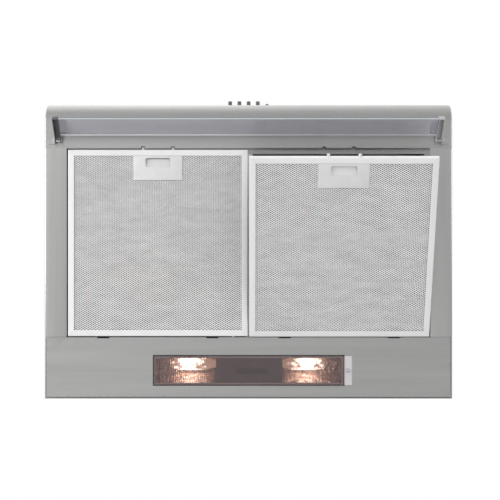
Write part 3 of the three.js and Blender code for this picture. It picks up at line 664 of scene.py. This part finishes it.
def lamp_panel():
    """Rear part of the underside, with the lamp window, hemmed at the front and bent up at the back."""
    seam, z = SEAM_Y, FLOOR_Z
    tabs = [side * FILTER_CENTRE_X + d for side in (-1, 1) for d in (-TAB_OFFSET, TAB_OFFSET)]
    slots = [x + d for x in tabs for d in (-TAB_SLOT_HALF, TAB_SLOT_HALF)]
    columns = [sign * x for sign in (-1, 1) for x in (PANEL_EDGE_X, LAMP_HALF_X, MOUTH_HALF_X)]
    columns = sorted(slots + columns)
    bm = bmesh.new()
    quads = []
    for x0, x1 in zip(columns, columns[1:]):
        middle = (x0 + x1) / 2
        is_slot = any(abs(middle - x) < TAB_SLOT_HALF for x in tabs)
        front = seam + TAB_SLOT_DEPTH if is_slot else seam
        rows = [front, LAMP_FRONT_Y, LAMP_REAR_Y, PANEL_EDGE_Y]
        for y0, y1 in zip(rows, rows[1:]):
            if not (y0 == LAMP_FRONT_Y and abs(middle) < LAMP_HALF_X):
                quads.append(((x0, y0, z), (x1, y0, z), (x1, y1, z), (x0, y1, z)))
        if abs(middle) < MOUTH_HALF_X and not is_slot:
            quads.append(((x0, seam, z), (x1, seam, z), (x1, seam, LEDGE_Z), (x0, seam, LEDGE_Z)))
        quads.append(((x0, PANEL_EDGE_Y, z), (x1, PANEL_EDGE_Y, z),
                      (x1, PANEL_EDGE_Y, z + BACK_FLANGE), (x0, PANEL_EDGE_Y, z + BACK_FLANGE)))
    add_faces(bm, quads)
    bmesh.ops.remove_doubles(bm, verts=bm.verts, dist=0.001)
    bmesh.ops.recalc_face_normals(bm, faces=bm.faces)
    folds = [e for e in bm.edges if len(e.link_faces) == 2 and e.calc_face_angle(0) > 1.2]
    rear = [e for e in folds if e.verts[0].co.y > seam + 20]
    front = [e for e in folds if e.verts[0].co.y < seam + 20]
    bmesh.ops.bevel(bm, geom=rear, offset=BEND_R, segments=5, profile=0.5, affect="EDGES")
    front = [e for e in front if e.is_valid]
    bmesh.ops.bevel(bm, geom=front, offset=1.0, segments=3, profile=0.5, affect="EDGES")
    panel = finish_mesh(bm, "lamp_panel", [steel_x], "hood", ("rear_lamp_panel",))
    facing_out(panel)
    thicken(panel, SHEET)


def switch_box():
    """Switch block behind the front panel, with a pocket for each control."""
    low, high = box_mm("switch_box")
    front = SHELL_FRONT + SHEET + 0.3
    bm = bmesh.new()
    block_faces(bm, (low[0], front, low[2]), high)
    bmesh.ops.bevel(bm, geom=bm.edges[:], offset=0.6, segments=2, affect="EDGES")
    box = finish_mesh(bm, "switch_block", [dark_plastic], "hood", ("switch_box",))
    cutters = []
    for name in CONTROLS:
        x, y, z = middle_mm(name)
        centre = (x, front + (POCKET_DEPTH - 1) / 2, z)
        cutters.append(round_cutter(centre, "Y", CONTROL_R + 0.1, POCKET_DEPTH + 1))
    cut_holes(box, cutters)


# ---------------------------------------------------------------- filters
def filter_front():
    """Front edge of a closed filter."""
    return box_mm("left_latch_housing")[0][1] - FILTER_BORDER - LATCH_GAP


def filter_to_world(side):
    """Takes a filter's own frame to the hood's frame at rest.

    In the filter's frame, x is from its centre, y back from its front edge and z up from its underside.
    """
    joint = joints[f"{side}_filter_hinge"]
    hinge = Vector(joint["pos_m"]) / MM
    tilt = 0.0 if side == "left" else RIGHT_TILT
    local = Matrix.Translation((0, filter_front() - hinge.y, box_mm("left_filter_frame")[0][2] - hinge.z))
    return Matrix.Translation(hinge) @ Matrix.Rotation(tilt, 4, "X") @ local


def filter_size():
    """Width and depth of a filter."""
    low, high = box_mm("left_filter_frame")
    rear = box_mm("left_filter_mesh")[1][1] + 1.3
    return high[0] - low[0], rear - filter_front()


def frame_profile():
    """Section of the frame's folded channel: distance in from the outer edge, and height."""
    r, top, inner, wall = 1.3, FILTER_HEIGHT, FILTER_BORDER, FILTER_SHEET
    corner = [math.radians(18 * i) for i in range(6)]
    points = [(inner - 0.2, wall), (inner, wall - 0.2), (inner, 0.2), (inner - 0.2, 0.0)]
    points += [(r - r * math.sin(a), r - r * math.cos(a)) for a in corner]
    points += [(r - r * math.cos(a), top - r + r * math.sin(a)) for a in corner]
    points += [(inner - 0.2, top), (inner, top - 0.2), (inner, top - wall + 0.2), (inner - 0.2, top - wall)]
    points += [(wall + 0.6, top - wall), (wall, top - wall - 0.6), (wall, wall + 0.6), (wall + 0.6, wall)]
    return points


def filter_frame(side):
    """Folded channel round the mesh: four mitred bars, two pin holes in front and two tabs behind."""
    width, depth = filter_size()
    matrix = filter_to_world(side)
    profile = frame_profile()
    half_x, middle_y = width / 2, depth / 2
    bars = [
        lambda u, s: (s * (half_x - u - MITRE_GAP), u),
        lambda u, s: (s * (half_x - u - MITRE_GAP), depth - u),
        lambda u, s: (u - half_x, middle_y + s * (middle_y - u - MITRE_GAP)),
        lambda u, s: (half_x - u, middle_y + s * (middle_y - u - MITRE_GAP)),
    ]
    bm = bmesh.new()
    for place in bars:
        rings = [[bm.verts.new((*place(u, s), z)) for u, z in profile] for s in (-1, 1)]
        for i in range(len(profile)):
            j = (i + 1) % len(profile)
            bm.faces.new((rings[0][i], rings[0][j], rings[1][j], rings[1][i]))
        for ring in rings:
            bm.faces.new(ring)
    tab_z = joints[f"{side}_filter_hinge"]["pos_m"][2] / MM - box_mm("left_filter_frame")[0][2]
    for x in (-TAB_OFFSET, TAB_OFFSET):
        low = (x - TAB_HALF, depth - 1, tab_z - 0.4)
        high = (x + TAB_HALF, depth + 6, tab_z + 0.4)
        verts = block_faces(bm, low, high)
        for face in {f for v in verts for f in v.link_faces}:
            face.material_index = 1
    bm.transform(matrix)
    piece = finish_mesh(bm, f"{side}_mitred_frame", [aluminium, plated], f"{side}_filter",
                        (f"{side}_filter_frame",))
    cut_holes(piece, [round_cutter((x, 0.5, PIN_Z), "Y", PIN_HOLE_R, 4, 24, matrix)
                      for x in (-PIN_OFFSET, PIN_OFFSET)])


def latch_plate(side):
    """Thin box round the latch with a rounded finger window in its face."""
    half, low, high = LATCH_WIDTH / 2, 0.2, 8.6
    front, rear = FILTER_BORDER + LATCH_GAP, FILTER_BORDER + LATCH_DEPTH
    bm = bmesh.new()
    verts = block_faces(bm, (-half, front, low), (half, rear, high))
    front_face = [f for f in {f for v in verts for f in v.link_faces}
                  if abs(f.calc_center_median().y - front) < 0.01]
    bmesh.ops.delete(bm, geom=front_face, context="FACES_ONLY")
    folds = [e for e in bm.edges if len(e.link_faces) == 2]
    bmesh.ops.bevel(bm, geom=folds, offset=0.9, segments=3, profile=0.5, affect="EDGES")
    matrix = filter_to_world(side)
    bm.transform(matrix)
    piece = finish_mesh(bm, f"{side}_latch_plate", [latch_grey], f"{side}_filter",
                        (f"{side}_latch_housing",))
    centre = matrix @ Vector((0, (front + rear) / 2, (low + high) / 2))
    outward = sum((p.center / MM - centre).dot(p.normal) * p.area for p in piece.data.polygons)
    if outward < 0:
        piece.data.flip_normals()
    thicken(piece, 0.8)
    window = bmesh.new()
    prism(window, rounded_outline(-18, 18, 12.4, 25.9, 2.6), -1, 2.5)
    window.transform(matrix)
    cut_holes(piece, [linked_object(window, "hole")])


def latch_scoop(side):
    """Sliding latch: two cheeks, a roof, a ramped finger rest and two round-ended pins."""
    bm = bmesh.new()
    for low, high in (((-24.8, 10.8, 1.6), (-18.7, 30, 7.2)), ((18.7, 10.8, 1.6), (24.8, 30, 7.2)),
                      ((-18.8, 10.8, 6.7), (18.8, 30, 7.2)), ((-18.8, 26.6, 1.6), (18.8, 30, 6.8))):
        block_faces(bm, low, high)
    # Finger rest, as y, half width and z: it is deep at the front and comes down to the rear cheek.
    rows = [(13.2, 16.0, 4.4), (13.5, 16.6, 4.2), (14.4, 17.0, 4.1), (18.5, 17.5, 3.9), (22.5, 18.6, 2.6),
            (26.7, 18.6, 1.3)]
    for (y0, h0, z0), (y1, h1, z1) in zip(rows, rows[1:]):
        corners = [bm.verts.new(c) for c in ((-h0, y0, z0), (h0, y0, z0), (h1, y1, z1), (-h1, y1, z1))]
        bm.faces.new(corners)
    bmesh.ops.remove_doubles(bm, verts=bm.verts, dist=0.001)
    for x in (-PIN_OFFSET, PIN_OFFSET):
        rod(bm, (x, 3.4, PIN_Z), "Y", PIN_R, 14, 24)
        cap = Matrix.Translation((x, -3.6, PIN_Z)) @ Matrix.Diagonal((1, 0.18, 1, 1))
        bmesh.ops.create_uvsphere(bm, u_segments=24, v_segments=12, radius=PIN_R - 0.02, matrix=cap)
    bm.transform(filter_to_world(side))
    finish_mesh(bm, f"{side}_latch_scoop", [latch_grey], f"{side}_latch", (f"{side}_latch_slider",))


def latch_coil(side):
    """Spring behind the latch, on a mesh of its own."""
    matrix = filter_to_world(side)
    turns, radius, wire = 5, 2.1, 0.4
    start, end = 30.7, 43.4
    steps, around = 90, 8
    bm = bmesh.new()
    rings = []
    for i in range(steps + 1):
        angle = 2 * math.pi * turns * i / steps
        y = start + wire + (end - start - 2 * wire) * i / steps
        ring = []
        for k in range(around):
            turn = 2 * math.pi * k / around
            out = radius + wire * math.cos(turn)
            point = (out * math.cos(angle), y + wire * math.sin(turn), PIN_Z + out * math.sin(angle))
            ring.append(bm.verts.new(point))
        rings.append(ring)
    for a, b in zip(rings, rings[1:]):
        for k in range(around):
            j = (k + 1) % around
            bm.faces.new((a[k], a[j], b[j], b[k]))
    bm.faces.new(rings[0])
    bm.faces.new(rings[-1])
    bm.transform(matrix)
    coil = finish_mesh(bm, f"{side}_latch_coil", [plated], f"{side}_filter",
                       (f"{side}_latch_spring",))
    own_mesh(coil)


def lattice_cells(pitch_x, pitch_y):
    """Centres of the diamonds that fit inside the frame, up to just under the latch plate."""
    width, depth = filter_size()
    x_edge, y_edge = width / 2 - 1.6, 1.6
    under_latch = 1.0
    latch_x = LATCH_WIDTH / 2 + 0.3 - under_latch
    latch_y = FILTER_BORDER + LATCH_DEPTH + 0.6 - under_latch
    half_x, half_y = pitch_x / 2, pitch_y / 2
    columns = int(x_edge / half_x) + 1
    rows = int((depth - 2 * y_edge) / half_y) + 1
    cells = []
    for i in range(-columns, columns + 1):
        for j in range(rows + 1):
            x, y = i * half_x, y_edge + j * half_y
            in_frame = abs(x) + half_x < x_edge and y_edge < y - half_y and y + half_y < depth - y_edge
            in_latch = abs(x) < latch_x and y < latch_y
            if (i + j) % 2 == 0 and in_frame and not in_latch:
                cells.append((x, y))
    return cells


def drifted(x, y, drift):
    """A sheet's uneven stretch, which makes waves where two layers overlap."""
    wave = math.sin(y / 4.6 + 0.9 * math.sin(x / 21.0) + 0.5 * math.sin(x / 9.0))
    return x + drift * wave, y + 0.6 * drift * math.sin(x / 13.0 + 1.7 * math.sin(y / 17.0))


def lattice(pitch_x, pitch_y, base, ridge, strand, drift):
    """Strands round diamond holes, peaked above and below, closed by walls at the sheet's edges."""
    bm = bmesh.new()
    verts = {}

    def vertex(x, y, z):
        key = (round(x, 3), round(y, 3), z)
        if key not in verts:
            verts[key] = bm.verts.new((*drifted(x, y, drift), base + z))
        return verts[key]

    edge_owners = {}
    for x, y in lattice_cells(pitch_x, pitch_y):
        outer = [(x - pitch_x / 2, y), (x, y - pitch_y / 2), (x + pitch_x / 2, y), (x, y + pitch_y / 2)]
        hole = [(x + (px - x) * (1 - strand), y + (py - y) * (1 - strand)) for px, py in outer]
        for k in range(4):
            a, b = outer[k], outer[(k + 1) % 4]
            c, d = hole[(k + 1) % 4], hole[k]
            for z in (-ridge, ridge):
                corners = [vertex(*a, z), vertex(*b, z), vertex(*c, 0.0), vertex(*d, 0.0)]
                bm.faces.new(corners if z < 0 else corners[::-1])
            key = tuple(sorted((tuple(round(v, 3) for v in a), tuple(round(v, 3) for v in b))))
            edge_owners.setdefault(key, []).append((a, b))
    for shared in edge_owners.values():
        if len(shared) == 1:
            a, b = shared[0]
            bm.faces.new([vertex(*b, -ridge), vertex(*a, -ridge), vertex(*a, ridge), vertex(*b, ridge)])
    return bm


def expanded_layer(side, layer, material, pitch, base, ridge, strand, drift=0.0, replaced=()):
    """One sheet of the filter's pack; pitch is the diamonds' spacing across and lengthways."""
    bm = lattice(*pitch, base, ridge, strand, drift)
    bm.transform(filter_to_world(side))
    new_piece(bm, f"{side}_mesh_{layer}", [material], f"{side}_filter", replaced)


def filter_looks(side):
    filter_frame(side)
    latch_plate(side)
    latch_scoop(side)
    latch_coil(side)
    expanded_layer(side, "front", expanded, (5.1, 2.95), 1.7, 0.25, 0.38, replaced=(f"{side}_filter_mesh",))
    expanded_layer(side, "middle", expanded_middle_painted_shade, (5.1, 2.95), 2.8, 0.25, 0.40, drift=1.5)
    expanded_layer(side, "back", expanded_back_painted_shade, (4.9, 2.8), 3.8, 0.25, 0.75, drift=-1.0)
    expanded_layer(side, "top", expanded, (7.4, 4.3), 4.7, 0.3, 0.5, drift=0.8)


# ---------------------------------------------------------------- visor
def visor_pane():
    """Glass strip with small ground bevels along its edges, in the visor's open place."""
    rear, front, half = -11.5, -43.0, 2.0
    chamfer, wide, deep = 0.5, 1.9, 0.4
    clear, polished, polished_front = range(3)
    # Each corner has the finish of the face from it to the next corner.
    outline = [
        (rear - chamfer, half, clear),
        (front + chamfer, half, polished_front),
        (front, half - chamfer, polished_front),
        (front, -half + chamfer, polished),
        (front + chamfer, -half, clear),
        (rear - wide, -half, polished),
        (rear, -half + deep, polished),
        (rear, half - chamfer, polished),
    ]
    pivot = Vector(joints["visor_hinge"]["pos_m"]) / MM
    matrix = Matrix.Translation(pivot) @ Matrix.Rotation(VISOR_OPEN, 4, "X")
    bm = bmesh.new()
    ends = []
    for x in (-GLASS_HALF_X, GLASS_HALF_X):
        ends.append([bm.verts.new(matrix @ Vector((x, y, z))) for y, z, finish in outline])
    for i, (y, z, finish) in enumerate(outline):
        j = (i + 1) % len(outline)
        face = bm.faces.new([ends[0][i], ends[0][j], ends[1][j], ends[1][i]])
        face.material_index = finish
    for end in ends:
        bm.faces.new(end)
    materials = [tint, glass_edge, glass_front]
    finish_mesh(bm, "visor_pane", materials, "visor", ("visor_glass",))


# ---------------------------------------------------------------- lamps
def ribbed_lens():
    """Smoked cover with fine ribs on its face."""
    low, high = box_mm("lamp_lens")
    flange_x = high[0] - FLANGE_WIDTH
    pitch, rib = 2.9, 0.5
    bm = bmesh.new()
    count = int((flange_x - low[0]) / pitch)
    step = (flange_x - low[0]) / count
    bottom = []
    for i in range(2 * count + 1):
        bottom.append((low[0] + i * step / 2, low[2] + (rib if i % 2 else 0.0)))
    y0, y1, top = low[1], high[1], high[2]
    quads = []
    for (xa, za), (xb, zb) in zip(bottom, bottom[1:]):
        quads.append(((xa, y0, za), (xb, y0, zb), (xb, y1, zb), (xa, y1, za)))
        quads.append(((xa, y0, top), (xa, y1, top), (xb, y1, top), (xb, y0, top)))
        for y in (y0, y1):
            quads.append(((xa, y, za), (xa, y, top), (xb, y, top), (xb, y, zb)))
    for x in (low[0], flange_x):
        quads.append(((x, y0, low[2]), (x, y1, low[2]), (x, y1, top), (x, y0, top)))
    add_faces(bm, quads)
    finish_mesh(bm, "ribbed_lens", [smoked], "hood", ("lamp_lens",), smooth_angle=10)


def lens_flange():
    """Plain end of the lens, which the screw holds."""
    low, high = box_mm("lamp_lens")
    bm = bmesh.new()
    block_faces(bm, (high[0] - FLANGE_WIDTH + 0.2, low[1], low[2] + 0.4), high)
    bmesh.ops.bevel(bm, geom=bm.edges[:], offset=0.5, segments=2, affect="EDGES")
    finish_mesh(bm, "lens_end_flange", [clear_flange], "hood", ())


def lamp_reflector(side):
    """Crumpled bright sheet behind a bulb, sloped towards it on both long sides."""
    sign = {"left": -1, "right": 1}[side]
    low, high = box_mm("lamp_tray")
    rows = [(low[1] + 1.6, -126), (low[1] + 8, -111), (high[1] - 14, -106), (high[1] - 1.6, -126)]
    columns = [sign * (REFLECTOR_START_X + REFLECTOR_LENGTH * i / 24) for i in range(25)]
    bm = bmesh.new()
    quads = []
    for x0, x1 in zip(columns, columns[1:]):
        quads += strip([(x0, y, z) for y, z in rows], [(x1, y, z) for y, z in rows])
    add_faces(bm, quads)
    piece = finish_mesh(bm, f"{side}_lamp_reflector", [reflector], "hood", ())
    facing_out(piece)
    thicken(piece, 0.5)


def lens_edge_shade_ring():
    """Thin dark ring round the lens, painted shade for the shadow line at the edge of the lens window."""
    low, high = box_mm("lamp_lens")
    flange_x = high[0] - FLANGE_WIDTH
    outer = rounded_outline(low[0] - 1.0, flange_x + 1.2, low[1] - 1.0, high[1] + 1.0, 0.8)
    inner = rounded_outline(low[0] + 1.0, flange_x - 1.0, low[1] + 1.0, high[1] - 1.0, 0.8)
    bm = bmesh.new()
    z0, z1 = FLOOR_Z - 0.28, FLOOR_Z - 0.02
    rings = [[bm.verts.new((x, y, z)) for x, y in outline] for outline, z in
             ((outer, z0), (inner, z0), (inner, z1), (outer, z1))]
    count = len(outer)
    for a, b in zip(rings, rings[1:] + rings[:1]):
        for i in range(count):
            j = (i + 1) % count
            bm.faces.new((a[i], a[j], b[j], b[i]))
    finish_mesh(bm, "lens_edge_shade_ring", [dark_plastic], "hood", ())


def lamp_centre_cover():
    """Dark plate behind the lens that hides the two lamp holders, with a plain raised strip."""
    low, high = box_mm("lamp_tray")
    bm = bmesh.new()
    z = low[2] + 1.2
    block_faces(bm, (-47, low[1] + 1.2, z), (50, high[1] - 1.2, z + 1.2))
    bmesh.ops.bevel(bm, geom=bm.edges[:], offset=0.3, segments=2, affect="EDGES")
    finish_mesh(bm, "lamp_centre_cover", [lamp_cover], "hood", ())
    bm = bmesh.new()
    prism(bm, rounded_outline(-19, 29, 174, 182, 1.5), z - 0.7, z - 0.1)
    finish_mesh(bm, "plain_strip", [dark_plastic], "hood", ())


# ---------------------------------------------------------------- everything
def build_pieces():
    """Makes the hood's own pieces and gives the CAD's pieces their finishes."""
    canopy_shell()
    lamp_panel()
    top_sheet()
    refine_cad("back_panel", steel_x, 0.3)
    for node in ("centre_rail", "blower_bracket", "motor_mount", "motor_shaft"):
        refine_cad(node, plated, 0.2)
    for side in ("left", "right"):
        filter_looks(side)
        refine_cad(f"{side}_visor_arm", {"left": arm_painted_shade, "right": arm_painted_light}[side], 0.25)
        refine_cad(f"{side}_visor_bracket", steel_x, 0.2)
        refine_cad(f"{side}_visor_pivot", plated, 0.3)
        refine_cad(f"{side}_lamp_holder", ceramic, 0.4)
        refine_cad(f"{side}_bulb", lit, 0)
        refine_cad(f"{side}_damper_flap", grey_plastic, 0.15)
    visor_pane()
    ribbed_lens()
    lens_flange()
    lamp_centre_cover()
    lens_edge_shade_ring()
    for side in ("left", "right"):
        lamp_reflector(side)
    for node in CONTROLS[:-1]:
        refine_cad(node, button_plastic, 0.25)
    refine_cad("pilot_lamp", pilot_smoked, 0)
    switch_box()
    refine_cad("lamp_tray", tray_metal, 0.3)
    refine_cad("lens_screw", plated, 0.15)
    for node in ("scroll_wrap", "inlet_cheek", "motor_cheek", "duct_collar", "damper_pin"):
        refine_cad(node, plated, 0.15)
    refine_cad("motor", plated, 0.5)
    refine_cad("impeller", dark_plastic, 0.1, 1)
    refine_cad("cable_gland", dark_plastic, 0.4)
    refine_cad("terminal_box", grey_plastic, 1.2)
    refine_cad("run_capacitor", enamel, 0.3)


# ---------------------------------------------------------------- studio, metres and watts
FLOOR_HEIGHT = -2.6
CAMERA_DISTANCE = 1.75
CAMERA_X = 0.0022
CAMERA_LENS = 85.9
# Brightness of the surroundings in reflections, from the far left (0) to the far right (1).
SURROUNDINGS = ((0.0, 0.62), (0.497, 0.54), (0.503, 0.42), (1.0, 0.36))


def studio_floor():
    """Pale floor far below the hood."""
    bm = bmesh.new()
    bmesh.ops.create_grid(bm, x_segments=1, y_segments=1, size=60.0)
    mesh = bpy.data.meshes.new("studio_floor")
    bm.to_mesh(mesh)
    bm.free()
    floor = bpy.data.objects.new("studio_floor", mesh)
    floor.location = (0, 0, FLOOR_HEIGHT)
    bpy.context.scene.collection.objects.link(floor)
    surface = Surface("floor_paint", (0.55, 0.55, 0.55), roughness=0.8)
    surface.vary_colour(surface.noise((3.0, 3.0, 3.0)), 0.98, 1.0)
    mesh.materials.append(surface.material)


def studio():
    """White surroundings brighter on the left, the floor, and soft lights under the hood."""
    scene = bpy.context.scene
    scene.view_settings.view_transform = "Standard"
    surroundings(scene)
    studio_floor()
    softbox("left_softbox", (-2.6, -0.6, -1.4), (1.6, 2.4), 44)
    softbox("right_softbox", (2.6, -0.8, -1.4), (1.6, 2.0), 22)
    softbox("left_reflector", (-0.9, -1.1, -2.5), (1.8, 1.6), 1.3, aim=(0, 0, 1))
    softbox("floor_wash", (-1.5, 0.9, -1.7), (2.4, 2.4), 14, aim=(0, 0, -1))


def surroundings(scene):
    """White for the camera; for reflections a soft fall in brightness from left to right."""
    world = bpy.data.worlds.new("studio")
    scene.world = world
    world.use_nodes = True
    nodes, links = world.node_tree.nodes, world.node_tree.links
    background = nodes["Background"]
    background.inputs["Color"].default_value = (1.0, 1.0, 1.0, 1.0)
    coords = nodes.new("ShaderNodeTexCoord")
    split = nodes.new("ShaderNodeSeparateXYZ")
    links.new(coords.outputs["Generated"], split.inputs["Vector"])
    across = nodes.new("ShaderNodeValToRGB")
    first, last = SURROUNDINGS[0][1], SURROUNDINGS[-1][1]
    across.color_ramp.elements[0].color = (first, first, first, 1.0)
    across.color_ramp.elements[1].color = (last, last, last, 1.0)
    for place, value in SURROUNDINGS[1:-1]:
        element = across.color_ramp.elements.new(place)
        element.color = (value, value, value, 1.0)
    shift = nodes.new("ShaderNodeMapRange")
    shift.inputs["From Min"].default_value = -1.0
    links.new(split.outputs["X"], shift.inputs["Value"])
    links.new(shift.outputs["Result"], across.inputs["Fac"])
    # The sky in front of and above the hood is brighter, for the rounded nose.
    front_up = nodes.new("ShaderNodeVectorMath")
    front_up.operation = "DOT_PRODUCT"
    front_up.inputs[1].default_value = (0.0, -0.6, 0.8)
    links.new(coords.outputs["Generated"], front_up.inputs[0])
    above = nodes.new("ShaderNodeMapRange")
    above.inputs["From Min"].default_value = 0.35
    above.inputs["From Max"].default_value = 0.95
    above.inputs["To Min"].default_value = 1.0
    above.inputs["To Max"].default_value = 3.7
    links.new(front_up.outputs["Value"], above.inputs["Value"])
    level = nodes.new("ShaderNodeMath")
    level.operation = "MULTIPLY"
    links.new(across.outputs["Color"], level.inputs[0])
    links.new(above.outputs["Result"], level.inputs[1])
    # The camera sees plain white.
    path = nodes.new("ShaderNodeLightPath")
    choose = nodes.new("ShaderNodeMix")
    links.new(path.outputs["Is Camera Ray"], choose.inputs[0])
    links.new(level.outputs["Value"], choose.inputs[2])
    choose.inputs[3].default_value = 1.0
    links.new(choose.outputs[0], background.inputs["Strength"])


def softbox(name, place, size, power, aim=None):
    """Soft light that the camera doesn't see; it faces the hood, or along aim."""
    data = bpy.data.lights.new(name, "AREA")
    data.shape = "RECTANGLE"
    data.size, data.size_y = size
    data.energy = power
    lamp = bpy.data.objects.new(name, data)
    lamp.location = place
    aim = Vector(aim) if aim else Vector((0, 0, FLOOR_Z * MM)) - Vector(place)
    lamp.rotation_euler = aim.to_track_quat("-Z", "Y").to_euler()
    lamp.visible_camera = False
    bpy.context.scene.collection.objects.link(lamp)


def camera():
    """Straight below the hood, with the front of the hood at the top of the frame."""
    data = bpy.data.cameras.new("camera")
    data.lens = CAMERA_LENS
    data.sensor_width = 36.0
    data.clip_end = 50.0
    eye = bpy.data.objects.new("camera", data)
    eye.location = (CAMERA_X, 0.0, FLOOR_Z * MM - CAMERA_DISTANCE)
    eye.rotation_euler = (math.pi, 0, 0)
    bpy.context.scene.collection.objects.link(eye)
    bpy.context.scene.camera = eye


camera()
studio()
build_pieces()
